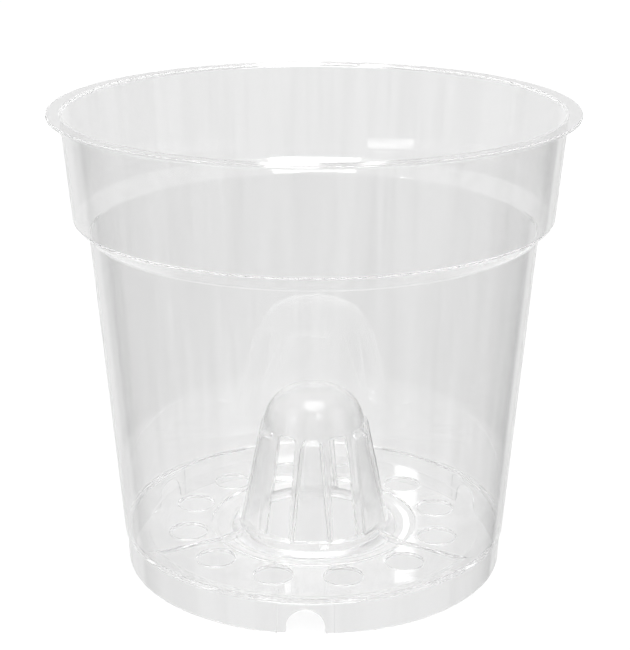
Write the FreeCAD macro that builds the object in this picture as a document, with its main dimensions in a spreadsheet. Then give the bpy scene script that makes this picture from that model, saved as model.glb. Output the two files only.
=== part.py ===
# Clear orchid pot, 150 mm across the rim, with an aeration cone that has six upright slots.
# One injection moulding, modelled zone by zone: rim, collar, stacking shoulder, side wall,
# floor with twelve drainage holes, foot skirt with three arches, slotted cone and its ribs.
# Millimetres, +Z up, origin on the axis at the level of the foot, one skirt arch facing -Y.
import FreeCAD, Part
import math
import os
import Sketcher

os.makedirs("parts", exist_ok=True)
doc = FreeCAD.newDocument("OrchidPot")
sheet = doc.addObject("Spreadsheet::Sheet", "Sizes")

# Driving dimensions: alias, value, note. Radii are built up from the cone outwards and heights from
# the foot upwards, so that each zone keeps its own width when its neighbour changes.
driving = [
    ("coneTopRadius", "15.2", "outside of the cone at the slots' upper end, between staves"),
    ("coneSpread", "5.8", "how much wider the cone is at the slots' lower end"),
    ("coneWall", "1.0", "wall of the cone"),
    ("coneBaseHeight", "2.9", "moat to the lower end of the slots"),
    ("slotHeight", "30", "lower to upper end of the slots"),
    ("slotAngle", "22", "width of a slot, degrees"),
    ("staveCount", "6", "staves, and slots between them"),
    ("panelRaise", "1.7", "how far a stave's middle stands out"),
    ("panelBottomHalf", "6.1", "half width of a raised panel at its foot"),
    ("panelTopHalf", "3.15", "half width of a raised panel at its head"),
    ("panelLedge", "1.3", "height of the sloping ledge on a panel's head"),
    ("panelLedgeInner", "1.8", "the same ledge inside, measured from the slots' upper end"),
    ("panelRoof", "0.8", "solid left above the hollow of a panel"),
    ("domeRise", "11.7", "slots' upper end to the top of the dome"),
    ("domeCapRadius", "8.0", "how far the flatter cap of the dome reaches"),
    ("domeCapDrop", "1.6", "top of the dome to the edge of its cap"),
    ("flareReach", "4.8", "how far the flared base runs out past the raised panels"),
    ("flareEdge", "0.15", "height of the flared base's edge"),
    ("moatWidth", "1.9", "flat of the moat, outside the flared base"),
    ("moatDrop", "0.8", "step down from the floor to the moat"),
    ("moatStepWidth", "1.8", "width of that step"),
    ("holeInnerMargin", "1.8", "moat's step to the drainage holes"),
    ("holeDiameter", "11.2", "drainage hole"),
    ("holeCount", "12", "drainage holes"),
    ("holeOuterMargin", "5.8", "drainage holes to the floor's bevel"),
    ("floorThickness", "1.1", "plate of the floor"),
    ("floorDish", "1.0", "top of the flat floor below the foot of the side wall"),
    ("wallMargin", "7.3", "floor's bevel, from the flat floor to the outside of the wall"),
    ("bevelEdge", "1.3", "top of the bevel above the foot of the side wall"),
    ("floorRibHeight", "0.8", "radial ribs on the floor"),
    ("floorRibAngle", "2.2", "width of a radial rib, degrees"),
    ("floorRibCount", "3", "radial ribs"),
    ("floorRibTurn", "60", "first radial rib, degrees from the front"),
    ("archRadius", "5.4", "half-round arches in the skirt"),
    ("archSpring", "2.3", "height at which an arch starts to round"),
    ("archCornerRound", "1.2", "rounded feet beside an arch"),
    ("archCount", "3", "arches in the skirt"),
    ("recessDepth", "0.4", "shallow recess in the skirt round an arch"),
    ("recessMargin", "1.3", "crown of an arch to the top of its recess"),
    ("recessAngle", "16.2", "width of that recess, degrees"),
    ("skirtMargin", "0.9", "top of a recess to the top of the skirt"),
    ("skirtWall", "0.9", "wall of the skirt"),
    ("skirtStep", "0.55", "skirt set in from the side wall"),
    ("skirtTaper", "0.45", "how much narrower the skirt is at the foot"),
    ("wall", "0.8", "wall of collar, shoulder and side"),
    ("sideTaper", "7.1", "how much wider the side wall is at its top"),
    ("sideHeight", "92.1", "height of the side wall"),
    ("shoulderWidth", "4.4", "how far the shoulder steps out"),
    ("shoulderDrop", "4.4", "height of the sloping shoulder"),
    ("shoulderCuff", "1.0", "straight wall kept above and below the slope"),
    ("shoulderRound", "0.9", "rounding of the collar's bottom corner"),
    ("ledgeLift", "0.33", "inner corners of the shoulder lie this much above the outer ones"),
    ("collarTaper", "2.4", "how much wider the collar is at its top"),
    ("collarHeight", "29.2", "height of the collar"),
    ("lipWidth", "3.8", "how far the flat lip stands out"),
    ("lipThickness", "0.9", "flat lip, top to bottom"),
    ("lipEdgeRound", "0.3", "rounding of the lip's outer edges"),
    ("lipInnerRound", "0.6", "rounding from the lip down into the collar"),
    ("overrun", "2.0", "extra length of every cut"),
    ("edgeMatch", "0.1", "how near an edge lies to the place where it is looked for"),
]

# Sizes that follow from the driving ones: alias, formula, note
derived = [
    ("recessTop", "archSpring + archRadius + recessMargin", "top of a recess"),
    ("skirtHeight", "recessTop + skirtMargin", "foot to the step where the side wall starts"),
    ("floorHeight", "skirtHeight - floorDish", "top of the flat floor"),
    ("floorUnderside", "floorHeight - floorThickness", "below the flat floor"),
    ("moatHeight", "floorHeight - moatDrop", "top of the moat's floor"),
    ("moatUnderside", "moatHeight - floorThickness", "below the moat"),
    ("bevelTopHeight", "skirtHeight + bevelEdge", "where the floor's bevel reaches the wall"),
    ("slotBottomHeight", "moatHeight + coneBaseHeight", "lower end of the slots"),
    ("slotTopHeight", "slotBottomHeight + slotHeight", "upper end of the slots"),
    ("domeTopHeight", "slotTopHeight + domeRise", "top of the dome"),
    ("domeInnerTop", "domeTopHeight - coneWall", "top of the dome inside"),
    ("domeCapHeight", "domeTopHeight - domeCapDrop", "edge of the dome's cap"),
    ("domeCapCurve",
     "(domeCapRadius * domeCapRadius / domeCapDrop + domeCapDrop) / 2", "radius of the cap's arc"),
    ("domeCapLean", "domeCapRadius / domeCapCurve", "sine of the slope at the cap's edge"),
    ("domeCapLevel", "1 - domeCapDrop / domeCapCurve", "cosine of that slope"),
    ("domeSideRun", "coneTopRadius - domeCapRadius", "the cap's edge to the slots' upper end, outwards"),
    ("domeSideFall", "domeCapHeight - slotTopHeight", "the same, downwards"),
    ("domeSideCurve",
     "(domeSideRun * domeSideRun + domeSideFall * domeSideFall)"
     " / (2 * (domeSideFall * domeCapLevel - domeSideRun * domeCapLean))", "arc that runs on from the cap"),
    ("domeSideCentre", "domeCapRadius - domeSideCurve * domeCapLean", "its centre from the axis"),
    ("domeInnerCapRadius", "domeCapRadius - coneWall * domeCapLean", "edge of the cap inside"),
    ("domeInnerCapHeight", "domeCapHeight - coneWall * domeCapLevel", "height of that edge"),
    ("shoulderBottomHeight", "skirtHeight + sideHeight", "outer foot of the shoulder"),
    ("collarBottomHeight", "shoulderBottomHeight + shoulderDrop", "the collar's bottom corner"),
    ("lipUnderside", "collarBottomHeight + collarHeight", "collar ends here"),
    ("potHeight", "lipUnderside + lipThickness", "foot to top of lip"),
    ("coneBottomRadius", "coneTopRadius + coneSpread", "outside of the cone at the slots' lower end"),
    ("panelBottomRadius", "coneBottomRadius + panelRaise", "outside of a raised panel at its foot"),
    ("flareRadius", "panelBottomRadius + flareReach", "outer edge of the cone's flared base"),
    ("flareEdgeHeight", "moatHeight + flareEdge", "top of that edge"),
    ("moatRadius", "flareRadius + moatWidth", "bottom of the moat's step"),
    ("moatStepRadius", "moatRadius + moatStepWidth", "top of the moat's step"),
    ("holePitchRadius",
     "moatStepRadius + holeInnerMargin + holeDiameter / 2", "circle of the drainage holes"),
    ("floorFlatRadius", "holePitchRadius + holeDiameter / 2 + holeOuterMargin", "start of the bevel"),
    ("wallBottomRadius", "floorFlatRadius + wallMargin", "outside of the side wall at the foot step"),
    ("wallTopRadius", "wallBottomRadius + sideTaper", "outside of the side wall under the shoulder"),
    ("collarBottomRadius", "wallTopRadius + shoulderWidth", "outside of the collar at its bottom corner"),
    ("collarTopRadius", "collarBottomRadius + collarTaper", "outside of the collar under the lip"),
    ("rimRadius", "collarTopRadius + lipWidth", "outside of the flat lip"),
    ("skirtTopRadius", "wallBottomRadius - skirtStep", "outside of the skirt under the step"),
    ("skirtBottomRadius", "skirtTopRadius - skirtTaper", "outside of the skirt at the foot"),
    ("skirtTopBore", "skirtTopRadius - skirtWall", "inside of the skirt at the step"),
    ("skirtBottomBore", "skirtBottomRadius - skirtWall", "inside of the skirt at the foot"),
    ("skirtSlope", "skirtTaper / skirtHeight", "outwards per mm up"),
    ("recessBottomRadius", "skirtBottomRadius - recessDepth", "floor of the recess at the foot"),
    ("recessTopRadius", "recessBottomRadius + skirtSlope * recessTop", "floor of the recess at its top"),
    ("recessOuterRadius", "skirtTopRadius + overrun", "the recess's cut starts outside the skirt"),
    ("collarInnerTopRadius", "collarTopRadius - wall", "bore under the lip"),
    ("lipEdgeCentre", "rimRadius - lipEdgeRound", "flat of the lip ends here, outside"),
    ("lipEdgeTop", "potHeight - lipEdgeRound", "top of the lip's outer face"),
    ("lipEdgeBottom", "lipUnderside + lipEdgeRound", "bottom of the lip's outer face"),
    ("lipInnerEdge", "collarInnerTopRadius + lipInnerRound", "flat of the lip ends here, inside"),
    ("lipInnerFoot", "potHeight - lipInnerRound", "inner rounding ends in the bore"),
    ("collarSlope", "collarTaper / collarHeight", "outwards per mm up"),
    ("cuffTopHeight", "collarBottomHeight + shoulderCuff", "collar ends, shoulder starts"),
    ("cuffTopRadius", "collarBottomRadius + collarSlope * shoulderCuff", "outside there"),
    ("cuffTopBore", "cuffTopRadius - wall", "inside there"),
    ("ledgeOuterHeight", "collarBottomHeight + ledgeLift", "inner corner, collar side"),
    ("ledgeOuterBore", "collarBottomRadius - wall", "bore at that corner"),
    ("ledgeInnerHeight", "shoulderBottomHeight + ledgeLift", "inner corner, side wall side"),
    ("ledgeInnerBore", "wallTopRadius - wall", "bore at that corner"),
    ("sideSlope", "sideTaper / sideHeight", "outwards per mm up"),
    ("cuffBottomHeight", "shoulderBottomHeight - shoulderCuff", "shoulder ends, side wall starts"),
    ("cuffBottomRadius", "wallTopRadius - sideSlope * shoulderCuff", "outside there"),
    ("cuffBottomBore", "cuffBottomRadius - wall", "inside there"),
    ("bevelTopRadius", "wallBottomRadius + sideSlope * bevelEdge", "outside of the wall's foot"),
    ("bevelTopBore", "bevelTopRadius - wall", "inside of the wall's foot"),
    ("coneSlope", "coneSpread / slotHeight", "inwards per mm up"),
    ("coneBottomBore", "coneBottomRadius - coneWall", "inside of the cone at the slots' lower end"),
    ("coneTopBore", "coneTopRadius - coneWall", "inside of the cone at the slots' upper end"),
    ("coneFootBore", "coneBottomBore + coneSlope * coneBaseHeight", "opening under the cone"),
    ("panelHeadHeight", "slotTopHeight - panelLedge", "top of a raised panel's face"),
    ("panelHeadRadius", "coneTopRadius + coneSlope * panelLedge + panelRaise", "outside there"),
    ("hollowBottomRadius", "panelBottomRadius - coneWall", "hollow behind a panel, at its foot"),
    ("hollowHeadHeight", "slotTopHeight - panelLedgeInner", "top of the hollow's face"),
    ("hollowHeadRadius",
     "coneTopRadius + coneSlope * panelLedgeInner + panelRaise - coneWall", "hollow there"),
    ("hollowRoofHeight", "slotTopHeight - panelRoof", "top of the hollow at the bore"),
    ("hollowRoofRadius", "coneTopBore + coneSlope * panelRoof", "bore there"),
    ("hollowBottomHalf", "panelBottomHalf - coneWall", "half width of the hollow at its foot"),
    ("hollowTopHalf", "panelTopHalf - coneWall", "half width of the hollow at its head"),
    ("hollowCoreRadius", "coneTopBore - overrun", "the hollow's cut reaches in to here"),
    ("hollowFootHeight", "slotBottomHeight - overrun", "the hollow's cut starts here"),
    ("staveAngle", "360 / staveCount - slotAngle", "width of a stave, degrees"),
    ("ribTopHeight", "floorHeight + floorRibHeight", "top of a radial rib"),
    ("bevelSlope",
     "(bevelTopBore - floorFlatRadius) / (bevelTopHeight - floorHeight)", "outwards per mm up"),
    ("ribEndRadius", "floorFlatRadius + bevelSlope * floorRibHeight", "where a radial rib dies out"),
]

row = 1
for alias, value, note in driving:
    sheet.set("A%d" % row, note)
    sheet.set("B%d" % row, value)
    sheet.setAlias("B%d" % row, alias)
    row += 1
for alias, formula, note in derived:
    sheet.set("A%d" % row, note)
    sheet.set("B%d" % row, "=" + formula)
    sheet.setAlias("B%d" % row, alias)
    row += 1
doc.recompute()


def size(alias):
    """Value of one named size; a leading minus mirrors it and "0" is the axis or the foot level."""
    if alias == "0":
        return 0.0
    if alias.startswith("-"):
        return -size(alias[1:])
    return float(sheet.get(alias))


def originPlane(body, role):
    for feature in body.Origin.OriginFeatures:
        if feature.Role == role:
            return feature
    raise ValueError("no plane " + role)


def newSketch(body, name, role):
    sketch = body.newObject("Sketcher::SketchObject", name)
    sketch.AttachmentSupport = (originPlane(body, role), [""])
    sketch.MapMode = "FlatFace"
    return sketch


def arcCentre(first, second, across):
    """Centre of an arc through two points, when its centre lies at a known distance from the axis."""
    (x0, y0), (x1, y1) = first, second
    up = (y0 + y1) / 2 + ((x0 - across) ** 2 - (x1 - across) ** 2) / (2 * (y0 - y1))
    return FreeCAD.Vector(across, up, 0)


def pinPoint(sketch, geometry, end, alias, direction):
    """Ties one coordinate of a sketch point to a named size."""
    axis = {"DistanceX": -2, "DistanceY": -1}[direction]
    if alias == "0":
        sketch.addConstraint(Sketcher.Constraint("PointOnObject", geometry, end, axis))
        return
    mirrored = alias.startswith("-")
    ends = (geometry, end, -1, 1) if mirrored else (-1, 1, geometry, end)
    index = sketch.addConstraint(Sketcher.Constraint(direction, *ends, abs(size(alias))))
    sketch.setExpression("Constraints[%d]" % index, "Sizes." + alias.lstrip("-"))


def drawOutline(sketch, corners, arcs):
    """Closed outline through named corners. arcs maps a side to how far its centre is from the axis."""
    points = [(size(across), size(up)) for across, up in corners]
    startEnd = []
    for side, start in enumerate(points):
        finish = points[(side + 1) % len(points)]
        if side in arcs:
            centre = arcCentre(start, finish, size(arcs[side]))
            radius = math.dist(start, (centre.x, centre.y))
            angles = [math.atan2(y - centre.y, x - centre.x) for x, y in (start, finish)]
            forward = (angles[1] - angles[0]) % (2 * math.pi) < math.pi
            if not forward:
                angles.reverse()
            circle = Part.Circle(centre, FreeCAD.Vector(0, 0, 1), radius)
            sketch.addGeometry(Part.ArcOfCircle(circle, *angles), False)
            startEnd.append((1, 2) if forward else (2, 1))
        else:
            line = Part.LineSegment(FreeCAD.Vector(*start, 0), FreeCAD.Vector(*finish, 0))
            sketch.addGeometry(line, False)
            startEnd.append((1, 2))
    for side, (across, up) in enumerate(corners):
        follower = (side + 1) % len(corners)
        joint = Sketcher.Constraint("Coincident", side, startEnd[side][1], follower, startEnd[follower][0])
        sketch.addConstraint(joint)
    for side, (across, up) in enumerate(corners):
        pinPoint(sketch, side, startEnd[side][0], across, "DistanceX")
        pinPoint(sketch, side, startEnd[side][0], up, "DistanceY")
    for side, across in arcs.items():
        pinPoint(sketch, side, 3, across, "DistanceX")


def turned(label, corners, arcs=None, angle=None, turn=0.0):
    """A body turned about the axis: a full ring, or a sector of a named angle, turned to its place."""
    body = doc.addObject("PartDesign::Body", label)
    body.Label = label
    sketch = newSketch(body, label + "Outline", "XZ_Plane")
    drawOutline(sketch, corners, arcs or {})
    spin = body.newObject("PartDesign::Revolution", label + "Turn")
    spin.Profile = sketch
    spin.ReferenceAxis = (sketch, ["V_Axis"])
    if angle:
        spin.setExpression("Angle", "Sizes." + angle)
        spin.Midplane = True
        body.Placement.Rotation = FreeCAD.Rotation(FreeCAD.Vector(0, 0, 1), turn)
    sketch.Visibility = False
    doc.recompute()
    return body, sketch, spin


def roundRings(body, feature, radius, rings):
    """Rounds the ring edges of a turned body that lie at the named radius and height."""
    doc.recompute()
    names = []
    for number, edge in enumerate(feature.Shape.Edges, 1):
        box = edge.BoundBox
        for across, up in rings:
            level = max(abs(box.ZMax - size(up)), abs(box.ZMin - size(up)))
            if level < size("edgeMatch") and abs(box.XMax - size(across)) < size("edgeMatch"):
                names.append("Edge%d" % number)
    blend = body.newObject("PartDesign::Fillet", body.Name + "Round" + radius)
    blend.Base = (feature, names)
    blend.setExpression("Radius", "Sizes." + radius)
    doc.recompute()
    return blend


def aroundAxis(body, name, feature, sketch, axis, count):
    """Repeats a feature evenly round the pot's axis, a named number of times."""
    pattern = body.newObject("PartDesign::PolarPattern", name)
    pattern.Originals = [feature]
    pattern.Axis = (sketch, [axis])
    pattern.Angle = 360.0
    pattern.setExpression("Occurrences", "Sizes." + count)
    body.Tip = pattern
    doc.recompute()
    return pattern


def frontAngle(turn):
    """Angle about +Z from +X of a place that is turned away from the front, which faces -Y."""
    return turn - 90.0


# Rim: a flat lip, rounded outside and rolled down into the collar inside
turned("rim_lip", [
    ("collarInnerTopRadius", "lipUnderside"), ("lipEdgeCentre", "lipUnderside"),
    ("rimRadius", "lipEdgeBottom"), ("rimRadius", "lipEdgeTop"), ("lipEdgeCentre", "potHeight"),
    ("lipInnerEdge", "potHeight"), ("collarInnerTopRadius", "lipInnerFoot")],
    arcs={1: "lipEdgeCentre", 3: "lipEdgeCentre", 5: "lipInnerEdge"})

# Collar: the wide upper band of the wall
turned("collar", [
    ("collarInnerTopRadius", "lipUnderside"), ("cuffTopBore", "cuffTopHeight"),
    ("cuffTopRadius", "cuffTopHeight"), ("collarTopRadius", "lipUnderside")])

# Shoulder: slopes in from the collar to the side wall, so that pots nest and rest on it
shoulder, shoulderSketch, shoulderTurn = turned("stacking_shoulder", [
    ("cuffTopBore", "cuffTopHeight"), ("ledgeOuterBore", "ledgeOuterHeight"),
    ("ledgeInnerBore", "ledgeInnerHeight"), ("cuffBottomBore", "cuffBottomHeight"),
    ("cuffBottomRadius", "cuffBottomHeight"), ("wallTopRadius", "shoulderBottomHeight"),
    ("collarBottomRadius", "collarBottomHeight"), ("cuffTopRadius", "cuffTopHeight")])
roundRings(shoulder, shoulderTurn, "shoulderRound", [("collarBottomRadius", "collarBottomHeight")])

# Side wall: the long tapered wall round the roots
turned("side_wall", [
    ("cuffBottomBore", "cuffBottomHeight"), ("bevelTopBore", "bevelTopHeight"),
    ("bevelTopRadius", "bevelTopHeight"), ("cuffBottomRadius", "cuffBottomHeight")])

# Floor: flat plate, bevelled up to the wall, with a moat round the cone and drainage holes
floor, floorSketch, floorTurn = turned("pot_floor", [
    ("coneFootBore", "moatUnderside"), ("moatRadius", "moatUnderside"),
    ("moatStepRadius", "floorUnderside"), ("floorFlatRadius", "floorUnderside"),
    ("skirtTopBore", "skirtHeight"), ("wallBottomRadius", "skirtHeight"),
    ("bevelTopRadius", "bevelTopHeight"), ("bevelTopBore", "bevelTopHeight"),
    ("floorFlatRadius", "floorHeight"), ("moatStepRadius", "floorHeight"),
    ("moatRadius", "moatHeight"), ("coneFootBore", "moatHeight")])
floorBefore = floor.Shape.Volume
holeSketch = newSketch(floor, "holeOutline", "XY_Plane")
firstHole = math.radians(frontAngle(180.0 / size("holeCount")))
holeCentre = FreeCAD.Vector(math.cos(firstHole), math.sin(firstHole), 0) * size("holePitchRadius")
holeSketch.addGeometry(Part.Circle(holeCentre, FreeCAD.Vector(0, 0, 1), size("holeDiameter") / 2), False)
holeSize = holeSketch.addConstraint(Sketcher.Constraint("Diameter", 0, size("holeDiameter")))
holeSketch.setExpression("Constraints[%d]" % holeSize, "Sizes.holeDiameter")
holeAcross = holeSketch.addConstraint(Sketcher.Constraint("DistanceX", -1, 1, 0, 3, holeCentre.x))
holeSketch.setExpression("Constraints[%d]" % holeAcross, "Sizes.holePitchRadius * sin(180 / Sizes.holeCount)")
holeUp = holeSketch.addConstraint(Sketcher.Constraint("DistanceY", 0, 3, -1, 1, -holeCentre.y))
holeSketch.setExpression("Constraints[%d]" % holeUp, "Sizes.holePitchRadius * cos(180 / Sizes.holeCount)")
hole = floor.newObject("PartDesign::Pocket", "hole")
hole.Profile = holeSketch
hole.Type = "ThroughAll"
hole.Midplane = True
aroundAxis(floor, "holes", hole, holeSketch, "N_Axis", "holeCount")
holeArea = math.pi * size("holeDiameter") ** 2 / 4
expectedHoles = size("holeCount") * holeArea * size("floorThickness")
print("holes cut %.1f mm3, expected %.1f" % (floorBefore - floor.Shape.Volume, expectedHoles))

# Foot: a skirt under the wall, with arches that let water and air out. It is drawn with an arch
# along +X and turned to put that arch in front.
skirt, skirtSketch, skirtTurn = turned("foot_skirt", [
    ("skirtBottomBore", "0"), ("skirtBottomRadius", "0"),
    ("skirtTopRadius", "skirtHeight"), ("skirtTopBore", "skirtHeight")])
skirtBefore = skirt.Shape.Volume
archSketch = newSketch(skirt, "archOutline", "YZ_Plane")
archHalf = size("archRadius")
spring = size("archSpring")
crown = Part.Circle(FreeCAD.Vector(0, spring, 0), FreeCAD.Vector(0, 0, 1), archHalf)
foot = -size("overrun")
archSketch.addGeometry([
    Part.ArcOfCircle(crown, 0, math.pi),
    Part.LineSegment(FreeCAD.Vector(-archHalf, spring, 0), FreeCAD.Vector(-archHalf, foot, 0)),
    Part.LineSegment(FreeCAD.Vector(-archHalf, foot, 0), FreeCAD.Vector(archHalf, foot, 0)),
    Part.LineSegment(FreeCAD.Vector(archHalf, foot, 0), FreeCAD.Vector(archHalf, spring, 0))], False)
archSketch.addConstraint([
    Sketcher.Constraint("PointOnObject", 0, 3, -2),
    Sketcher.Constraint("Tangent", 0, 2, 1, 1), Sketcher.Constraint("Coincident", 1, 2, 2, 1),
    Sketcher.Constraint("Coincident", 2, 2, 3, 1), Sketcher.Constraint("Tangent", 3, 2, 0, 1),
    Sketcher.Constraint("Vertical", 1), Sketcher.Constraint("Horizontal", 2)])
archWide = archSketch.addConstraint(Sketcher.Constraint("Radius", 0, archHalf))
archSketch.setExpression("Constraints[%d]" % archWide, "Sizes.archRadius")
archLevel = archSketch.addConstraint(Sketcher.Constraint("DistanceY", -1, 1, 0, 3, spring))
archSketch.setExpression("Constraints[%d]" % archLevel, "Sizes.archSpring")
archFoot = archSketch.addConstraint(Sketcher.Constraint("DistanceY", 2, 1, -1, 1, -foot))
archSketch.setExpression("Constraints[%d]" % archFoot, "Sizes.overrun")
arch = skirt.newObject("PartDesign::Pocket", "arch")
arch.Profile = archSketch
arch.Type = "ThroughAll"
arch.Reversed = True
arches = aroundAxis(skirt, "arches", arch, archSketch, "V_Axis", "archCount")
archArea = math.pi * size("archRadius") ** 2 / 2 + 2 * size("archRadius") * size("archSpring")
expectedArches = size("archCount") * archArea * size("skirtWall")
print("arches cut %.1f mm3, expected about %.1f" % (skirtBefore - skirt.Shape.Volume, expectedArches))

# Corners where an arch meets the foot, the only short edges that lie on the ground
archCorners = []
for number, edge in enumerate(arches.Shape.Edges, 1):
    onGround = max(abs(vertex.Z) for vertex in edge.Vertexes) < size("edgeMatch")
    if onGround and edge.Length < size("archRadius"):
        archCorners.append("Edge%d" % number)
archFeet = skirt.newObject("PartDesign::Fillet", "archFeet")
archFeet.Base = (arches, archCorners)
archFeet.setExpression("Radius", "Sizes.archCornerRound")
doc.recompute()

# Shallow recess in the skirt's outside, round each arch
skirtBefore = skirt.Shape.Volume
recessSketch = newSketch(skirt, "recessOutline", "XZ_Plane")
drawOutline(recessSketch, [
    ("recessBottomRadius", "-overrun"), ("recessBottomRadius", "0"), ("recessTopRadius", "recessTop"),
    ("recessOuterRadius", "recessTop"), ("recessOuterRadius", "-overrun")], {})
recess = skirt.newObject("PartDesign::Groove", "recess")
recess.Profile = recessSketch
recess.ReferenceAxis = (recessSketch, ["V_Axis"])
recess.setExpression("Angle", "Sizes.recessAngle")
recess.Midplane = True
aroundAxis(skirt, "recesses", recess, recessSketch, "V_Axis", "archCount")
skirt.Placement.Rotation = FreeCAD.Rotation(FreeCAD.Vector(0, 0, 1), frontAngle(0))
print("recesses cut %.1f mm3" % (skirtBefore - skirt.Shape.Volume))

# Cone base: a flared band that stands on the floor of the moat
turned("cone_base", [
    ("coneFootBore", "moatHeight"), ("flareRadius", "moatHeight"), ("flareRadius", "flareEdgeHeight"),
    ("panelBottomRadius", "slotBottomHeight"), ("coneBottomBore", "slotBottomHeight")],
    arcs={2: "flareRadius"})

# Cone dome: the closed round top above the slots
turned("cone_dome", [
    ("coneTopBore", "slotTopHeight"), ("coneTopRadius", "slotTopHeight"),
    ("domeCapRadius", "domeCapHeight"), ("0", "domeTopHeight"),
    ("0", "domeInnerTop"), ("domeInnerCapRadius", "domeInnerCapHeight")],
    arcs={1: "domeSideCentre", 2: "0", 4: "0", 5: "domeSideCentre"})


def panelWedge(label, bottomHalf, topHalf):
    """Upright wedge, narrow at the top, that trims a raised panel to its width. It points along +X."""
    body = doc.addObject("PartDesign::Body", label)
    body.Label = label
    sketch = newSketch(body, label + "Outline", "YZ_Plane")
    drawOutline(sketch, [
        ("-" + bottomHalf, "slotBottomHeight"), (bottomHalf, "slotBottomHeight"),
        (topHalf, "slotTopHeight"), ("-" + topHalf, "slotTopHeight")], {})
    pad = body.newObject("PartDesign::Pad", label + "Pad")
    pad.Profile = sketch
    pad.setExpression("Length", "Sizes.flareRadius")
    sketch.Visibility = False
    doc.recompute()
    return body


def boolean(kind, label, base, tool):
    result = doc.addObject("Part::" + kind, label)
    result.Base = base
    result.Tool = tool
    return result


# Stave: a strip of the cone with a raised panel down its middle, hollow behind. It is made once
# along +X, and each stave of the cone is that one turned to its place.
skin = turned("staveSkin", [
    ("coneBottomBore", "slotBottomHeight"), ("coneBottomRadius", "slotBottomHeight"),
    ("coneTopRadius", "slotTopHeight"), ("coneTopBore", "slotTopHeight")], angle="staveAngle")[0]
panelTurn = turned("stavePanel", [
    ("coneBottomBore", "slotBottomHeight"), ("panelBottomRadius", "slotBottomHeight"),
    ("panelHeadRadius", "panelHeadHeight"), ("coneTopRadius", "slotTopHeight"),
    ("coneTopBore", "slotTopHeight")], angle="staveAngle")[0]
hollowTurn = turned("staveHollow", [
    ("hollowCoreRadius", "hollowFootHeight"), ("hollowBottomRadius", "hollowFootHeight"),
    ("hollowBottomRadius", "slotBottomHeight"), ("hollowHeadRadius", "hollowHeadHeight"),
    ("hollowRoofRadius", "hollowRoofHeight"), ("hollowCoreRadius", "hollowRoofHeight")],
    angle="staveAngle")[0]
panelTrim = panelWedge("panelTrim", "panelBottomHalf", "panelTopHalf")
hollowTrim = panelWedge("hollowTrim", "hollowBottomHalf", "hollowTopHalf")
panel = boolean("Common", "stavePanelTrimmed", panelTurn, panelTrim)
hollow = boolean("Common", "staveHollowTrimmed", hollowTurn, hollowTrim)
staveBody = boolean("Fuse", "staveSolid", skin, panel)

nodes = ["rim_lip", "collar", "stacking_shoulder", "side_wall", "pot_floor", "foot_skirt"]
nodes += ["cone_base", "cone_dome"]
for number in range(int(size("staveCount"))):
    stave = boolean("Cut", "cone_stave_%d" % (number + 1), staveBody, hollow)
    turn = frontAngle(number * 360.0 / size("staveCount"))
    stave.Placement.Rotation = FreeCAD.Rotation(FreeCAD.Vector(0, 0, 1), turn)
    nodes.append(stave.Label)

# Radial ribs: from the cone's flared base, across the moat's step, to the foot of the bevel
for number in range(int(size("floorRibCount"))):
    label = "floor_rib_%d" % (number + 1)
    turn = frontAngle(size("floorRibTurn") + number * 360.0 / size("floorRibCount"))
    turned(label, [
        ("panelBottomRadius", "slotBottomHeight"), ("flareRadius", "flareEdgeHeight"),
        ("flareRadius", "moatHeight"), ("moatRadius", "moatHeight"),
        ("moatStepRadius", "floorHeight"), ("floorFlatRadius", "floorHeight"),
        ("ribEndRadius", "ribTopHeight"), ("moatStepRadius", "ribTopHeight")],
        arcs={0: "flareRadius"}, angle="floorRibAngle", turn=turn)
    nodes.append(label)

doc.recompute()
for item in doc.Objects:
    if "Invalid" in item.State or "Error" in item.State:
        raise RuntimeError(item.Name + " failed: " + ", ".join(item.State))
total = 0.0
for label in nodes:
    shape = doc.getObjectsByLabel(label)[0].Shape
    if shape.isNull() or not shape.isValid() or len(shape.Solids) != 1:
        raise RuntimeError(label + " is not one valid solid")
    total += shape.Volume
    print("%-20s %9.1f mm3" % (label, shape.Volume))
for label in nodes:
    doc.getObjectsByLabel(label)[0].Shape.exportStep("parts/%s.step" % label)
print("%d sub-parts, %.1f cm3 of plastic" % (len(nodes), total / 1000))
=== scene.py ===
# Clear orchid pot with a slotted cone in its floor, one moulding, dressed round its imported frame.
# Metres, +Z up. Azimuths are degrees from the front, which faces -Y, towards +X.
import math
import bmesh
import bpy
from mathutils import Matrix, Vector


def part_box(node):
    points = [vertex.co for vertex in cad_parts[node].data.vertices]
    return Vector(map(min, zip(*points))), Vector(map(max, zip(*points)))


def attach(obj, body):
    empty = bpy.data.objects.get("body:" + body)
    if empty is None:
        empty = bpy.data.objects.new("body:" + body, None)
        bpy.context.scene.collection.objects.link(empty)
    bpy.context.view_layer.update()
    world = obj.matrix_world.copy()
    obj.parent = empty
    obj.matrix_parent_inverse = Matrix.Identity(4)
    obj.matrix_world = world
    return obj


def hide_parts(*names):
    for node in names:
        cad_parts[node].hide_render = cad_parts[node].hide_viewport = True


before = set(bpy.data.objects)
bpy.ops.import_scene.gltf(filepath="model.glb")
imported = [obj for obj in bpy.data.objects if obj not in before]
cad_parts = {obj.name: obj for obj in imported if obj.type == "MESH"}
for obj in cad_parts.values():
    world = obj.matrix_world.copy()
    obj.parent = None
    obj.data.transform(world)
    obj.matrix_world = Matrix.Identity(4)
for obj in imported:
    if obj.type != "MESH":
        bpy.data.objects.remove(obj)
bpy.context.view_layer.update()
scene = bpy.context.scene
mm = 0.001
tiny = 1e-6  # metres, too short to matter
cubicCm = 1e-6  # cubic metres
print("frame loaded:", len(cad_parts), "nodes")


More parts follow.
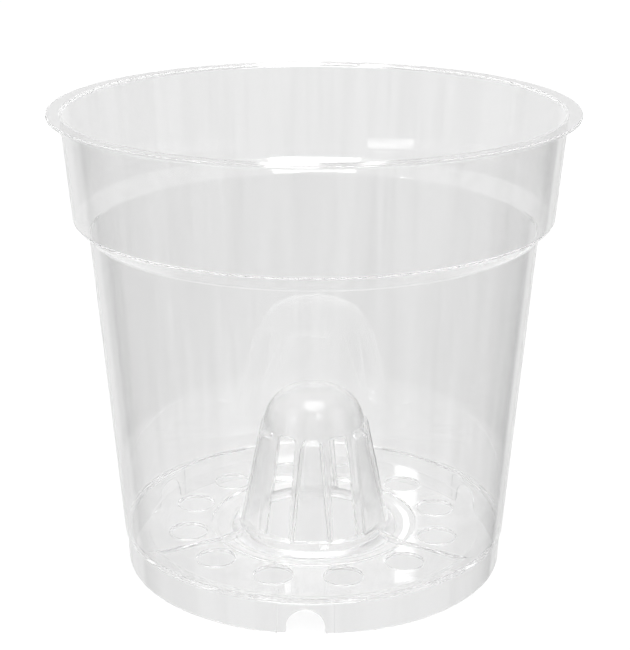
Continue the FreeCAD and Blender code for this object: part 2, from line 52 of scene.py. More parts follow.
# Node trees, for geometry and for materials
def place(tree, kind, inputs=None, **settings):
    item = tree.nodes.new(kind)
    for key, value in settings.items():
        setattr(item, key, value)
    for key, value in (inputs or {}).items():
        if isinstance(value, bpy.types.NodeSocket):
            tree.links.new(value, item.inputs[key])
        else:
            item.inputs[key].default_value = value
    return item


def math2(tree, operation, first, second=0.0, third=0.0):
    values = {0: first, 1: second, 2: third}
    return place(tree, "ShaderNodeMath", values, operation=operation).outputs[0]


def fade(tree, value, start, end):
    return place(tree, "ShaderNodeMapRange", {
        "Value": value, "From Min": start, "From Max": end}, interpolation_type="SMOOTHSTEP").outputs[0]


def mixValue(tree, factor, first, second):
    return place(tree, "ShaderNodeMix", {"Factor": factor, "A": first, "B": second}).outputs[0]


# A Mix node has sockets of one name for each kind of value, so its colours go by number
def mixColor(tree, factor, first, second):
    return place(tree, "ShaderNodeMix", {
        "Factor": factor, 6: (*first, 1), 7: (*second, 1)}, data_type="RGBA").outputs[2]


def scaled(tree, vector, scale):
    return place(tree, "ShaderNodeVectorMath", {0: vector, 1: scale}, operation="MULTIPLY").outputs[0]


# True when a ray has met more events of one kind, such as reflections, than a limit
def moreThan(tree, path, kind, limit):
    return math2(tree, "GREATER_THAN", path[kind + " Depth"], limit)


def startTree(name, sockets):
    tree = bpy.data.node_groups.new(name, "GeometryNodeTree")
    tree.is_modifier = True
    for label, kind in [("Geometry", "Geometry")] + sockets:
        tree.interface.new_socket(label, in_out="INPUT", socket_type="NodeSocket" + kind)
    tree.interface.new_socket("Geometry", in_out="OUTPUT", socket_type="NodeSocketGeometry")
    return tree, tree.nodes.new("NodeGroupInput").outputs


def endTree(tree, geometry, material):
    real = place(tree, "GeometryNodeRealizeInstances", {"Geometry": geometry})
    dressed = place(tree, "GeometryNodeSetMaterial", {"Geometry": real.outputs[0], "Material": material})
    place(tree, "NodeGroupOutput", {"Geometry": dressed.outputs[0]})
    return tree


def useTree(piece, tree, values):
    modifier = piece.modifiers.new(tree.name, "NODES")
    modifier.node_group = tree
    for socket in tree.interface.items_tree:
        if socket.in_out == "INPUT" and socket.name in values:
            modifier[socket.identifier] = values[socket.name]


def newPiece(name, data=None):
    piece = bpy.data.objects.new(name, data or bpy.data.meshes.new(name))
    scene.collection.objects.link(piece)
    return piece


# What the modifiers make becomes the piece's own plain mesh
def settle(piece):
    graph = bpy.context.evaluated_depsgraph_get()
    finished = bpy.data.meshes.new_from_object(piece.evaluated_get(graph))
    piece.modifiers.clear()
    piece.data = finished


# Turns an outline round the pot's axis. The outline is a flat poly curve in X (out) and Z (up) whose
# point radii say how much each corner is rounded.
def turnTree():
    sockets = [("Outline", "Object"), ("Segments", "Int"), ("Round Steps", "Int"), ("Material", "Material")]
    tree, entry = startTree("turnOutline", sockets)
    outline = place(tree, "GeometryNodeObjectInfo", {"Object": entry["Outline"]}).outputs["Geometry"]
    rounding = place(tree, "GeometryNodeInputRadius").outputs[0]
    rounded = place(tree, "GeometryNodeFilletCurve", {
        "Curve": outline, "Count": entry["Round Steps"], "Radius": rounding,
        "Limit Radius": True}, mode="POLY").outputs[0]
    count = place(tree, "GeometryNodeAttributeDomainSize", {"Geometry": rounded}, component="CURVE")
    rows = math2(tree, "ADD", entry["Segments"], 1.0)
    grid = place(tree, "GeometryNodeMeshGrid", {
        "Vertices X": count.outputs["Point Count"], "Vertices Y": rows})
    # A point of the grid, by its number: its spot along the outline and its turn. The half keeps the
    # division clear of whole numbers.
    index = place(tree, "GeometryNodeInputIndex").outputs[0]
    spot = math2(tree, "FLOOR", math2(tree, "DIVIDE", math2(tree, "ADD", index, 0.5), rows))
    turn = math2(tree, "SUBTRACT", index, math2(tree, "MULTIPLY", spot, rows))
    angle = math2(tree, "MULTIPLY", math2(tree, "DIVIDE", turn, entry["Segments"]), 2 * math.pi)
    where = place(tree, "GeometryNodeInputPosition").outputs[0]
    sampled = place(tree, "GeometryNodeSampleIndex", {
        "Geometry": rounded, "Value": where, "Index": spot}, data_type="FLOAT_VECTOR", domain="POINT")
    part = place(tree, "ShaderNodeSeparateXYZ", {0: sampled.outputs[0]}).outputs
    across = math2(tree, "MULTIPLY", part["X"], math2(tree, "COSINE", angle))
    along = math2(tree, "MULTIPLY", part["X"], math2(tree, "SINE", angle))
    target = place(tree, "ShaderNodeCombineXYZ", {"X": across, "Y": along, "Z": part["Z"]}).outputs[0]
    turned = place(tree, "GeometryNodeSetPosition", {"Geometry": grid.outputs[0], "Position": target})
    closed = place(tree, "GeometryNodeMergeByDistance", {"Geometry": turned.outputs[0], "Distance": tiny})
    return endTree(tree, closed.outputs[0], entry["Material"])


# Joins copies of a part to the piece, or cuts them out of it, evenly spaced round the pot's axis
def ringTree(name, operation):
    sockets = [("Part", "Object"), ("Count", "Int"), ("First Angle", "Float"), ("Material", "Material")]
    tree, entry = startTree(name, sockets)
    part = place(tree, "GeometryNodeObjectInfo", {"Object": entry["Part"]}).outputs["Geometry"]
    points = place(tree, "GeometryNodePoints", {"Count": entry["Count"]}).outputs[0]
    index = place(tree, "GeometryNodeInputIndex").outputs[0]
    step = math2(tree, "MULTIPLY", math2(tree, "DIVIDE", index, entry["Count"]), 2 * math.pi)
    angle = math2(tree, "ADD", math2(tree, "RADIANS", entry["First Angle"]), step)
    spin = place(tree, "FunctionNodeAxisAngleToRotation", {"Axis": (0, 0, 1), "Angle": angle}).outputs[0]
    copies = place(tree, "GeometryNodeInstanceOnPoints", {
        "Points": points, "Instance": part, "Rotation": spin}).outputs[0]
    real = place(tree, "GeometryNodeRealizeInstances", {"Geometry": copies}).outputs[0]
    merged = place(tree, "GeometryNodeMeshBoolean", operation=operation, solver="MANIFOLD")
    whole = "Mesh 1" if operation == "DIFFERENCE" else "Mesh 2"  # a union takes all in one socket
    tree.links.new(entry["Geometry"], merged.inputs[whole])
    tree.links.new(real, merged.inputs["Mesh 2"])
    return endTree(tree, merged.outputs[0], entry["Material"])


turnOutline = turnTree()
joinRing = ringTree("joinRing", "UNION")
cutRing = ringTree("cutRing", "DIFFERENCE")


# A closed solid through a row of loops with as many points each
def loft(name, loops):
    bm = bmesh.new()
    rings = [[bm.verts.new(point) for point in loop] for loop in loops]
    count = len(loops[0])
    for low, high in zip(rings, rings[1:]):
        for i in range(count):
            bm.faces.new((low[i], low[(i + 1) % count], high[(i + 1) % count], high[i]))
    bm.faces.new(rings[0][::-1])
    bm.faces.new(rings[-1])
    bmesh.ops.recalc_face_normals(bm, faces=bm.faces)
    mesh = bpy.data.meshes.new(name)
    bm.to_mesh(mesh)
    bm.free()
    return newPiece(name, mesh)


def outlineCurve(name, points):
    curve = bpy.data.curves.new(name, "CURVE")
    curve.dimensions = "3D"
    spline = curve.splines.new("POLY")
    spline.points.add(len(points) - 1)
    for point, (across, up, rounding) in zip(spline.points, points):
        point.co = (across * mm, 0, up * mm, 1)
        point.radius = max(rounding * mm, tiny)
    return newPiece(name, curve)


# Points along the arc between two corners whose centre lies that far from the axis, ends left out
def arcBetween(start, finish, centreAcross, steps):
    (x0, z0), (x1, z1) = start, finish
    up = (z0 + z1) / 2 + ((x0 - centreAcross) ** 2 - (x1 - centreAcross) ** 2) / (2 * (z0 - z1))
    radius = math.dist(start, (centreAcross, up))
    first = math.atan2(z0 - up, x0 - centreAcross)
    last = math.atan2(z1 - up, x1 - centreAcross)
    inner = [first + (last - first) * i / steps for i in range(1, steps)]
    return [(centreAcross + radius * math.cos(a), up + radius * math.sin(a), 0) for a in inner]


# Share of the way from low to high, and the value that far between two others
def between(value, low, high, atLow, atHigh):
    return atLow + (atHigh - atLow) * (value - low) / (high - low)


# Point at a distance from the axis and across it, for a part that is drawn facing the front
def front(out, across, up):
    return Vector((across, -out, up)) * mm


# Sizes in millimetres. What the frame gives is read from it: outer radius, lowest and highest level.
def turnedSize(node):
    low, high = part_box(node)
    return high.x / mm, low.z / mm, high.z / mm


lipRadius, lipUnder, rimTop = turnedSize("rim_lip")
collarRadius = turnedSize("collar")[0]
wallLow = turnedSize("side_wall")[1]
skirtRadius, skirtFoot, skirtTop = turnedSize("foot_skirt")
flareRadius, moatTop, slotLow = turnedSize("cone_base")
coneTopRadius, slotHigh, domeTop = turnedSize("cone_dome")
shell = {
    "segments": 600, "roundSteps": 3, "sharpAngle": 32,
    "wall": 0.8, "skirtWall": 0.9, "coneWall": 1.0, "floorPlate": 1.1,
    "collarLowRadius": 68.8, "collarLowLevel": 106.4, "wallHighRadius": 64.4, "wallHighLevel": 102.0,
    "ledgeLift": 0.33, "wallLowRadius": 57.3, "skirtLowRadius": 56.3,
    "floorLevel": 8.9, "floorFlat": 50.0, "bevelOut": 56.6, "moatRadius": 29.4, "moatStep": 31.2,
    "flareEdge": 0.15, "panelLowRadius": 22.7, "coneLowRadius": 21.0, "arcSteps": 10,
    "capRadius": 8.0, "capDrop": 1.6, "capSteps": 4, "ringLift": 0.45, "ringStep": 0.12,
    "lipRound": 0.3, "lipInnerRound": 0.6, "footRound": 0.3, "edgeRound": 0.25, "bendRound": 0.9,
    "flareRound": 0.4, "footStepRound": 0.1, "collarRound": 0.5,
}


# The closed outline: over the dome, down the cone, across the floor, up the wall, and back outside
def shellOutline():
    s = shell
    wall, plate, lift = s["wall"], s["floorPlate"], s["ledgeLift"]
    step, ringTop = s["ringStep"], slotHigh + s["ringLift"]
    domeStart, domeEnd = (0, domeTop), (coneTopRadius - step, ringTop)
    inStart, inEnd = (coneTopRadius - s["coneWall"], slotHigh), (0, domeTop - s["coneWall"])
    # The dome's cap is an arc about the axis. Its side is an arc that leaves the cap without a bend.
    capEdge = (s["capRadius"], domeTop - s["capDrop"])
    capCurve = (s["capRadius"] ** 2 / s["capDrop"] + s["capDrop"]) / 2
    lean, level = s["capRadius"] / capCurve, 1 - s["capDrop"] / capCurve
    run, fall = domeEnd[0] - capEdge[0], capEdge[1] - domeEnd[1]
    sideCurve = (run ** 2 + fall ** 2) / (2 * (fall * level - run * lean))
    sideCentre = capEdge[0] - sideCurve * lean
    inCapEdge = (capEdge[0] - s["coneWall"] * lean, capEdge[1] - s["coneWall"] * level)
    flareStart, flareEnd = (s["panelLowRadius"], slotLow), (flareRadius, moatTop + s["flareEdge"])
    slope = (s["coneLowRadius"] - coneTopRadius) / (slotHigh - slotLow)
    coneBore = s["coneLowRadius"] - s["coneWall"]
    footBore = coneBore + slope * (slotLow - moatTop)
    floorLevel, under = s["floorLevel"], s["floorLevel"] - plate
    bend, edge = s["bendRound"], s["edgeRound"]
    collarBore = collarRadius - wall
    points = [(*domeStart, 0)]
    points += arcBetween(domeStart, capEdge, 0, s["capSteps"]) + [(*capEdge, 0)]
    points += arcBetween(capEdge, domeEnd, sideCentre, s["arcSteps"])
    points += [(*domeEnd, 0), (coneTopRadius, ringTop - step, 0), (coneTopRadius, slotHigh, 0)]
    points += [(s["coneLowRadius"], slotLow, edge), (*flareStart, s["flareRound"])]
    points += arcBetween(flareStart, flareEnd, flareRadius, s["arcSteps"])
    points += [
        (*flareEnd, 0), (flareRadius, moatTop, 0), (s["moatRadius"], moatTop, edge),
        (s["moatStep"], floorLevel, edge), (s["floorFlat"], floorLevel, bend),
        (s["bevelOut"], wallLow, bend), (s["wallHighRadius"] - wall, s["wallHighLevel"] + lift, bend),
        (s["collarLowRadius"] - wall, s["collarLowLevel"] + lift, s["collarRound"]),
        (collarBore, lipUnder, 0), (collarBore, rimTop, s["lipInnerRound"]),
        (lipRadius, rimTop, s["lipRound"]), (lipRadius, lipUnder, s["lipRound"]),
        (collarRadius, lipUnder, edge), (s["collarLowRadius"], s["collarLowLevel"], bend),
        (s["wallHighRadius"], s["wallHighLevel"], bend), (s["wallLowRadius"], skirtTop, edge),
        (skirtRadius, skirtTop, s["footStepRound"]), (s["skirtLowRadius"], skirtFoot, s["footRound"]),
        (s["skirtLowRadius"] - s["skirtWall"], skirtFoot, s["footRound"]),
        (skirtRadius - s["skirtWall"], skirtTop, edge), (s["floorFlat"], under, bend),
        (s["moatStep"], under, edge), (s["moatRadius"], moatTop - plate, edge),
        (footBore, moatTop - plate, edge), (coneBore, slotLow, 0), (*inStart, 0)]
    points += arcBetween(inStart, inCapEdge, sideCentre, s["arcSteps"]) + [(*inCapEdge, 0)]
    points += arcBetween(inCapEdge, inEnd, 0, s["capSteps"])
    points += [(*inEnd, 0)]
    return points


strip = {"cornerSteps": 5, "roundShare": 0.6, "faceSteps": 10}


# Upright strip on the cone: level by level a face that is part of a circle about the axis, with its
# two long edges rounded and its back flat. It gives the raised panels and the hollows behind them.
def stripLoops(levels, faceRadius, backRadius, halfWidth, rounding):
    corners, steps = strip["cornerSteps"], strip["faceSteps"]
    loops = []
    for level in levels:
        face, half = faceRadius(level), halfWidth(level)
        edge = min(rounding, half * strip["roundShare"])
        out = math.sqrt((face - edge) ** 2 - (half - edge) ** 2)
        start = math.atan2(half - edge, out)
        corner = [start + (math.pi / 2 - start) * i / corners for i in range(corners + 1)]
        right = [(out + edge * math.cos(a), half - edge + edge * math.sin(a)) for a in corner]
        middle = [start * (1 - 2 * i / steps) for i in range(1, steps)]
        middle = [(face * math.cos(a), face * math.sin(a)) for a in middle]
        left = [(x, -y) for x, y in right[::-1]]
        back = backRadius(level)
        ring = [(back, half)] + right[::-1] + middle + left + [(back, -half)]
        loops.append([front(x, y, level) for x, y in ring])
    return loops


panel = {
    "footRadius": 22.7, "headRadius": 17.15, "headLevel": 39.7, "footHalf": 6.1, "headHalf": 3.15,
    "edgeRound": 0.55, "hollowFootRadius": 21.7, "hollowHeadRadius": 16.25, "hollowHeadLevel": 39.2,
    "hollowRoofRadius": 14.355, "hollowRoofLevel": 40.2, "hollowFootHalf": 5.1, "hollowHeadHalf": 2.15,
    "hollowRound": 0.4, "headRound": 0.6, "buried": 0.5, "backDepth": 1.1, "hollowDepth": 3.2,
    "levelStep": 10, "headStart": (2, 1), "headSteps": 10, "headSoftness": 1.0, "narrowest": 0.95,
}


# Outside of the cone between its staves, at a level
def coneSkin(level):
    return between(level, slotLow, slotHigh, shell["coneLowRadius"], coneTopRadius)


# One raised panel, its face falling to a ledge at its head
def panelPart():
    p = panel
    ledgeFall = (p["headRadius"] - coneTopRadius) / (slotHigh - p["headLevel"])

    def face(level):
        straight = between(level, slotLow, p["headLevel"], p["footRadius"], p["headRadius"])
        ledge = p["headRadius"] - ledgeFall * (level - p["headLevel"])
        reach = p["headRound"] / 2  # blends the face into the ledge
        gap = straight - ledge
        return straight if gap < -reach else ledge if gap > reach else (
            straight - (gap + reach) ** 2 / (4 * reach))

    def half(level):
        plain = between(level, slotLow, slotHigh, p["footHalf"], p["headHalf"])
        reach = slotHigh - p["headLevel"] + p["headSoftness"]
        over = max(0.0, level - p["headLevel"] + p["headRound"]) / reach
        return plain * math.sqrt(1 - min(over, p["narrowest"]) ** 2)

    top = slotHigh + p["buried"] / 2
    headFoot = p["headLevel"] - p["headRound"]
    levels = [slotLow - p["buried"]] + [slotLow + p["levelStep"] * i for i in range(3)]
    levels += [p["headLevel"] - below for below in p["headStart"]]
    levels += [headFoot + (top - headFoot) * i / p["headSteps"] for i in range(p["headSteps"] + 1)]
    return loft("panelPart", stripLoops(
        levels, face, lambda z: coneSkin(z) - p["backDepth"], half, p["edgeRound"]))


# Cutter for the hollow behind one panel
def hollowPart():
    p = panel

    def face(level):
        if level > p["hollowHeadLevel"]:
            return between(level, p["hollowHeadLevel"], p["hollowRoofLevel"], p["hollowHeadRadius"],
                           p["hollowRoofRadius"])
        return between(level, slotLow, p["hollowHeadLevel"], p["hollowFootRadius"], p["hollowHeadRadius"])

    levels = [slotLow + p["levelStep"] * i for i in range(3)] + [p["hollowHeadLevel"], p["hollowRoofLevel"]]
    return loft("hollowPart", stripLoops(
        levels, face, lambda z: coneSkin(z) - p["hollowDepth"],
        lambda z: between(z, slotLow, slotHigh, p["hollowFootHalf"], p["hollowHeadHalf"]), p["hollowRound"]))


slot = {"count": 6, "halfAngle": 11.0, "cornerRound": 1.1, "edgeRound": 0.25, "edgeShare": 0.9, "sill": 0.05,
        "steps": 7, "flareAngle": 70, "flareSteps": 4, "overBore": 1.5, "overSkin": 3.0}


# Cutter for one slot: a wedge between two planes through the axis, wider where it leaves the wall so
# that the wall's edges come out rounded
def slotPart():
    s = slot
    low, high = slotLow - s["sill"], slotHigh - s["sill"]
    bend = s["cornerRound"]
    turns = [math.pi / 2 * i / s["steps"] for i in range(s["steps"] + 1)]
    ends = [(bend * (1 - math.cos(t)), bend * (1 - math.sin(t))) for t in turns]
    # The lower corners are half as round as the upper ones
    profile = [(low + up / 2, narrow / 2) for up, narrow in ends]
    profile += [(high - up, narrow) for up, narrow in ends[::-1]]
    loops = []
    for level, narrow in profile:
        skin, bore = coneSkin(level), coneSkin(level) - shell["coneWall"]
        edge = s["edgeRound"]
        half = skin * math.radians(s["halfAngle"]) - narrow
        flare = [math.radians(s["flareAngle"]) * i / s["flareSteps"] for i in range(s["flareSteps"] + 1)]
        into = edge * s["edgeShare"]
        outer = [(skin - into + edge * math.sin(t), half + edge * (1 - math.cos(t))) for t in flare]
        inner = [(bore + into - edge * math.sin(t), half + edge * (1 - math.cos(t))) for t in flare]
        side = [(bore - s["overBore"], inner[-1][1])] + inner[::-1] + outer
        side += [(skin + s["overSkin"], outer[-1][1])]
        angles = [(out, across / skin) for out, across in side]
        ring = angles + [(out, -turn) for out, turn in angles[::-1]]
        loops.append([front(out * math.cos(turn), out * math.sin(turn), level) for out, turn in ring])
    return loft("slotPart", loops)


drain = {"count": 12, "radius": 5.6, "pitchRadius": 38.6, "edgeRound": 0.3, "edgeShare": 0.9,
         "flareAngle": 72, "steps": 5, "segments": 72, "overrun": 1}


# Cutter for one drainage hole, flared at both faces of the floor so that its edges come out rounded
def drainPart():
    d = drain
    top, under = shell["floorLevel"], shell["floorLevel"] - shell["floorPlate"]
    edge = d["edgeRound"]
    into = edge * d["edgeShare"]
    turns = [math.radians(d["flareAngle"]) * i / d["steps"] for i in range(d["steps"] + 1)]
    upper = [(d["radius"] + edge * (1 - math.cos(t)), top - into + edge * math.sin(t)) for t in turns]
    lower = [(out, under + top - level) for out, level in upper[::-1]]
    profile = [(lower[0][0], under - d["overrun"])] + lower + upper + [(upper[-1][0], top + d["overrun"])]
    loops = []
    for out, level in profile:
        around = [2 * math.pi * i / d["segments"] for i in range(d["segments"])]
        loops.append([front(d["pitchRadius"] + out * math.cos(a), out * math.sin(a), level) for a in around])
    return loft("drainPart", loops)


arch = {"count": 3, "radius": 5.4, "spring": 2.3, "cornerRound": 1.2, "steps": 24, "cornerSteps": 6,
        "foot": -1.0, "reach": (-6, 2)}
recess = {"depth": 0.4, "half": 8.1, "top": 9.0, "bevel": 0.25, "lift": 0.1, "overrun": 2, "steps": 12}


# Cutter for one arch, half round above upright sides with rounded feet
def archPart():
    a = arch
    wide = a["radius"] + a["cornerRound"]
    corner = [math.pi / 2 * i / a["cornerSteps"] for i in range(a["cornerSteps"] + 1)]
    foot = [(wide - a["cornerRound"] * math.sin(t), a["cornerRound"] * (1 - math.cos(t))) for t in corner]
    crown = [math.pi * i / a["steps"] for i in range(a["steps"] + 1)]
    roof = [(a["radius"] * math.cos(t), a["spring"] + a["radius"] * math.sin(t)) for t in crown]
    outline = [(wide, a["foot"])] + foot + roof + [(-x, z) for x, z in foot[::-1]] + [(-wide, a["foot"])]
    reach = [shell["skirtLowRadius"] + past for past in a["reach"]]
    return loft("archPart", [[front(out, x, z) for x, z in outline] for out in reach])


# Cutter for the shallow recess round an arch, with sloping borders
def recessPart():
    r, foot = recess, arch["foot"]
    bevel, top, lift = r["bevel"], r["top"], r["lift"]
    rise = (skirtRadius - shell["skirtLowRadius"]) / (skirtTop - skirtFoot)
    edgeTurn = math.degrees(bevel / skirtRadius)
    stations = [(-r["half"] - edgeTurn, lift)]
    stations += [(r["half"] * (2 * i / r["steps"] - 1), -r["depth"]) for i in range(r["steps"] + 1)]
    stations += [(r["half"] + edgeTurn, lift)]
    outside = skirtRadius + r["overrun"]
    loops = []
    for turn, depth in stations:
        base = shell["skirtLowRadius"] + depth
        ring = [(base + rise * foot, foot), (base + rise * top, top - bevel * (depth > 0)),
                (skirtRadius + lift, top + bevel * (depth < 0)), (outside, top + bevel),
                (outside, foot)]
        angle = math.radians(turn)
        loops.append([front(out * math.cos(angle), out * math.sin(angle), level) for out, level in ring])
    return loft("recessPart", loops)


rib = {"count": 3, "firstAngle": 60.0, "halfAngle": 1.1, "height": 0.8, "buried": 0.55, "steps": 6,
       "inner": 22.3, "outer": 52.6}


# One low radial rib on the floor, drawn from the cone's foot out to the bevel, with a rounded back
def ribPart():
    r, s = rib, shell
    top = s["floorLevel"] + r["height"]
    bevelRise = (wallLow - s["floorLevel"]) / (s["bevelOut"] - s["floorFlat"])
    moatFoot, floorFoot = moatTop - r["buried"], s["floorLevel"] - r["buried"]
    overMoat = between(s["moatRadius"], s["panelLowRadius"], s["moatStep"], slotLow, top)
    stations = [
        (r["inner"], moatFoot, slotLow), (s["panelLowRadius"], moatFoot, slotLow),
        (s["moatRadius"], moatFoot, overMoat),
        (s["moatStep"], floorFoot, top), (s["floorFlat"], floorFoot, top),
        (r["outer"], floorFoot + bevelRise * (r["outer"] - s["floorFlat"]), top)]
    loops = []
    for out, low, high in stations:
        half = out * math.tan(math.radians(r["halfAngle"]))
        crest = min(half, r["height"])
        turns = [math.pi * i / r["steps"] for i in range(r["steps"] + 1)]
        back = [(half * math.cos(t), high - crest + crest * math.sin(t)) for t in turns]
        ring = [(half, low)] + back + [(-half, low)]
        loops.append([front(out, x, z) for x, z in ring])
    return loft("ribPart", loops)


# Clear plastic. The cone is a little rough, and the cone and level faces carry a thin frost.
# coneReach, where the cone's finish ends, and waveHeight are in metres.
plastic = {
    "tint": (0.975, 0.975, 0.975), "clarity": 0.97, "roughness": 0.02, "ior": 1.5,
    "turns": 3.5, "frost": 0.3, "frostRoughness": 0.6, "levelFace": (0.5, 0.9), "levelFrost": 0.15,
    "coneRoughness": 0.2, "coneReach": (0.0235, 0.0225),
    "waveScale": 220.0, "waveDetail": 2.0, "waveHeight": 0.00003, "waveStrength": 0.1,
    "waveStretch": (1.0, 1.0, 0.06), "streakStretch": (1.0, 1.0, 0.02),
    "streakScale": 75.0, "streakDetail": 3.0, "streakRoughness": 0.75, "streakBand": (0.42, 0.62),
    "streakTint": (0.94, 0.94, 0.94),
}


def plasticMaterial():
    p = plastic
    material = bpy.data.materials.new("clearPlastic")
    material.use_nodes = True
    tree = material.node_tree
    tree.nodes.clear()
    spot = place(tree, "ShaderNodeTexCoord").outputs["Object"]
    stretched = scaled(tree, spot, p["waveStretch"])
    flow = place(tree, "ShaderNodeTexNoise", {
        "Vector": stretched, "Scale": p["waveScale"], "Detail": p["waveDetail"]}).outputs["Fac"]
    bump = place(tree, "ShaderNodeBump", {
        "Height": flow, "Strength": p["waveStrength"], "Distance": p["waveHeight"]}).outputs[0]
    streak = place(tree, "ShaderNodeTexNoise", {
        "Vector": scaled(tree, spot, p["streakStretch"]), "Scale": p["streakScale"],
        "Detail": p["streakDetail"], "Roughness": p["streakRoughness"]}).outputs["Fac"]
    streak = fade(tree, streak, *p["streakBand"])
    color = mixColor(tree, streak, p["tint"], p["streakTint"])
    flat = scaled(tree, spot, (1.0, 1.0, 0.0))
    out = place(tree, "ShaderNodeVectorMath", {0: flat}, operation="LENGTH").outputs["Value"]
    cone = fade(tree, out, *p["coneReach"])
    roughness = mixValue(tree, cone, p["roughness"], p["coneRoughness"])
    facing = place(tree, "ShaderNodeTexCoord").outputs["Normal"]
    steep = math2(tree, "ABSOLUTE", place(tree, "ShaderNodeSeparateXYZ", {0: facing}).outputs["Z"])
    lying = math2(tree, "MULTIPLY", fade(tree, steep, *p["levelFace"]), p["levelFrost"])
    frost = math2(tree, "MULTIPLY", math2(tree, "MAXIMUM", cone, lying), p["frost"])
    body = place(tree, "ShaderNodeBsdfPrincipled", {
        "Base Color": color, "Roughness": roughness, "IOR": p["ior"],
        "Transmission Weight": p["clarity"], "Normal": bump, "Sheen Weight": frost,
        "Sheen Roughness": p["frostRoughness"]})
    path = place(tree, "ShaderNodeLightPath").outputs
    through = place(tree, "ShaderNodeBsdfTransparent", {"Color": (*p["tint"], 1)})
    # Light caught inside the wall is let out after a few turns, as haze in real plastic does
    caught = moreThan(tree, path, "Glossy", p["turns"])
    mixed = place(tree, "ShaderNodeMixShader", {
        0: math2(tree, "MAXIMUM", path["Is Shadow Ray"], caught), 1: body.outputs[0], 2: through.outputs[0]})
    place(tree, "ShaderNodeOutputMaterial", {"Surface": mixed.outputs[0]})
    return material


clearPlastic = plasticMaterial()


# The whole moulding: the turned shell, then what repeats round the axis is joined to it or cut out
def buildPot():
    pot = newPiece("clear_pot")
    outline = outlineCurve("shellOutline", shellOutline())
    useTree(pot, turnOutline, {
        "Outline": outline, "Segments": shell["segments"], "Round Steps": shell["roundSteps"],
        "Material": clearPlastic})
    staves, holes, arches = slot["count"], drain["count"], arch["count"]
    steps = [
        (joinRing, panelPart(), staves, 0.0), (joinRing, ribPart(), rib["count"], rib["firstAngle"]),
        (cutRing, hollowPart(), staves, 0.0), (cutRing, slotPart(), staves, 180.0 / staves),
        (cutRing, drainPart(), holes, 180.0 / holes), (cutRing, archPart(), arches, 0.0),
        (cutRing, recessPart(), arches, 0.0)]
    for tree, part, count, firstAngle in steps:
        useTree(pot, tree, {
            "Part": part, "Count": count, "First Angle": firstAngle, "Material": clearPlastic})
    settle(pot)
    for part in [outline] + [step[1] for step in steps]:
        bpy.data.objects.remove(part)
    return pot


def smoothShading(piece, angle):
    piece.data.polygons.foreach_set("use_smooth", [True] * len(piece.data.polygons))
    piece.data.set_sharp_from_angle(angle=math.radians(angle))
    weighted = piece.modifiers.new("weighted", "WEIGHTED_NORMAL")
    weighted.keep_sharp = True
    weighted.mode = "FACE_AREA"
    settle(piece)


pot = buildPot()
smoothShading(pot, shell["sharpAngle"])
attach(pot, "root")
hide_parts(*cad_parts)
checkMesh = bmesh.new()
checkMesh.from_mesh(pot.data)
openEdges = sum(1 for edge in checkMesh.edges if not edge.is_manifold)
print("pot:", len(pot.data.polygons), "faces,", openEdges, "open edges, volume cm3",
      round(checkMesh.calc_volume(signed=True) / cubicCm, 2))
checkMesh.free()


# Studio: the camera, a white surround, and dark sides that only reflections see. The camera's place
# and sensor are in millimetres, its turns in degrees.
view = {"azimuth": 2.3, "distance": 460.0, "height": 226.15, "sideways": 0.32, "pitch": 18.6, "roll": 0.05,
        "focalPixels": 1648.0, "framePixels": 650.0, "sensor": 36.0}


def makeCamera():
    v = view
    turn, pitch = math.radians(v["azimuth"]), math.radians(v["pitch"])
    right = Vector((math.cos(turn), math.sin(turn), 0))
    ahead = Vector((-math.sin(turn), math.cos(turn), 0))
    aim = ahead * math.cos(pitch) - Vector((0, 0, 1)) * math.sin(pitch)
    data = bpy.data.cameras.new("camera")
    data.sensor_width = v["sensor"]
    data.lens = v["focalPixels"] / v["framePixels"] * v["sensor"]
    camera = newPiece("camera", data)
    level = right.cross(aim)
    facing = Matrix((right, level, -aim)).transposed()
    camera.matrix_world = facing.to_4x4() @ Matrix.Rotation(math.radians(v["roll"]), 4, "Z")
    camera.location = (right * v["sideways"] - ahead * v["distance"] + Vector((0, 0, v["height"]))) * mm
    scene.camera = camera


# Brightness of the surround as reflections see it: degrees from straight ahead, to the right positive.
# The dark sides lie in a belt about the horizon; above it is the ceiling light, below it the table.
# levels is for light reflected by the outside, rim for light from inside the front wall, innerLevels
# for light from behind it. inside and frontLevel are for light that was reflected more than once.
tent = {
    "levels": [(-180, 0.3), (-140, 0.25), (-90, 0.08), (-52, 0.03), (-46, 0.6), (-25, 0.78), (20, 0.76),
               (34, 0.58), (39, 0.03), (90, 0.08), (140, 0.25), (180, 0.3)],
    "innerLevels": [(-180, 0.1), (-60, 0.05), (-19, 0.03), (-13, 0.7), (0, 0.82), (11, 0.7), (16, 0.03),
                    (60, 0.05), (180, 0.1)],
    "rim": 0.8, "inside": 0.95, "frontLevel": 3.0, "frontLight": (125, 140),
    "outerLow": (-0.95, -0.45), "innerLow": (-0.54, -0.44), "beltHigh": (-0.06, 0.06),
    "table": 1.5, "ceiling": 0.7, "behind": 0.86,
    "ambientLow": 0.25, "ambientHigh": 1.6, "ambientReach": (0.2, 0.9),
}


# Limits, between whole numbers, on the surfaces a ray has passed and on its reflections so far
limits = {"outside": 0.5, "frontWall": 3.5, "once": 0.5, "twice": 1.5}


